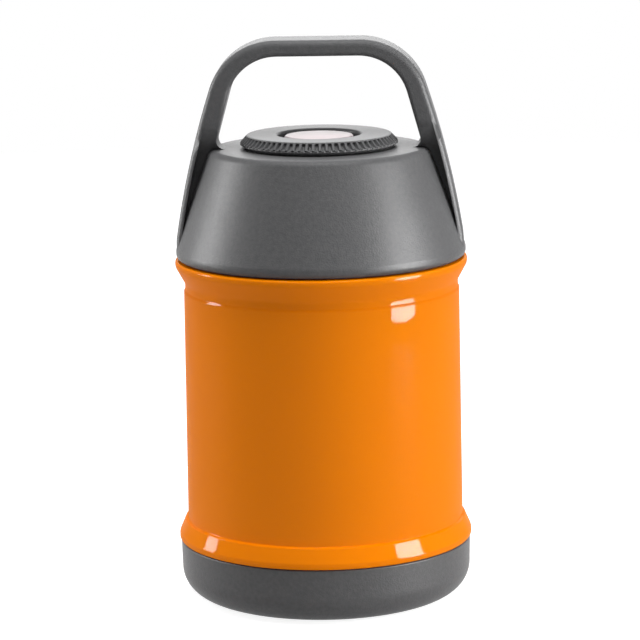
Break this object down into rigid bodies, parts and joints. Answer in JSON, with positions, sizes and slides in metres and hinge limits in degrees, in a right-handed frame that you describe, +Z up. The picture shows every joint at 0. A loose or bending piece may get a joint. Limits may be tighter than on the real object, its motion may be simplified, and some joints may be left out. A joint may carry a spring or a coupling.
{
  "type": "insulated food jar",
  "caption": "Double-walled insulated food jar with a conical screw lid, a fixed bow handle moulded with the lid, and a push-button vent inside a knurled ring.",
  "frame": {"origin": "centre of the face that the jar stands on, on the jar's axis", "axes": "+Z up along the jar's axis; the handle's arms stand at +X and -X, so its grip runs along X"},
  "size_m": [0.1118, 0.1118, 0.2124],
  "materials": {
    "orange_lacquer": "high-gloss stoved orange lacquer on stainless steel",
    "grey_moulding": "fine-textured satin grey polypropylene",
    "dark_moulding": "dark grey moulded plastic",
    "ring_moulding": "satin grey moulded plastic",
    "button_moulding": "smooth pale pink moulded plastic",
    "inner_moulding": "natural off-white food-grade polypropylene",
    "pad_rubber": "matt dark rubber",
    "silicone": "translucent white silicone",
    "bare_steel": "satin stainless steel",
    "copper_foil": "bright copper foil",
    "getter": "sintered dark grey",
    "sealing_glass": "fused grey sealing glass",
    "foam": "white closed-cell foam"
  },
  "bodies": {
    "jar": {"outer_shell": "orange_lacquer", "base_cup": "grey_moulding", "base_pad": "pad_rubber", "bottom_plate": "bare_steel", "vacuum_seal": "sealing_glass", "getter_pellet": "getter", "getter_clip": "bare_steel", "radiation_foil": "copper_foil", "inner_liner": "bare_steel", "neck_collar": "inner_moulding"},
    "seal": {"lid_seal": "silicone"},
    "lid": {"lid_shell": "grey_moulding", "inner_lid": "inner_moulding", "lid_foam": "foam", "valve_housing": "dark_moulding", "housing_seal": "pad_rubber"},
    "ring": {"knurled_ring": "ring_moulding"},
    "button": {"release_button": "button_moulding", "valve_stem": "inner_moulding", "valve_plug": "silicone", "button_spring": "bare_steel"}
  },
  "joints": [
    {"name": "lid_rise", "type": "slide", "parent": "jar", "child": "seal", "axis": [0, 0, 1], "range_m": [0, 0.024]},
    {"name": "lid_turn", "type": "hinge", "parent": "seal", "child": "lid", "pos_m": [0, 0, 0.145], "axis": [0, 0, 1], "range_deg": [0, 720]},
    {"name": "ring_turn", "type": "hinge", "parent": "lid", "child": "ring", "pos_m": [0, 0, 0.172], "axis": [0, 0, 1], "range_deg": [0, 45]},
    {"name": "button_press", "type": "slide", "parent": "lid", "child": "button", "axis": [0, 0, -1], "range_m": [0, 0.003], "stiffness_N_per_m": 400, "springref_m": -0.003, "deforming": ["button_spring"]}
  ],
  "couplings": [
    {"joint": "lid_rise", "follows": "lid_turn", "m_per_rad": 0.0019098}
  ]
}
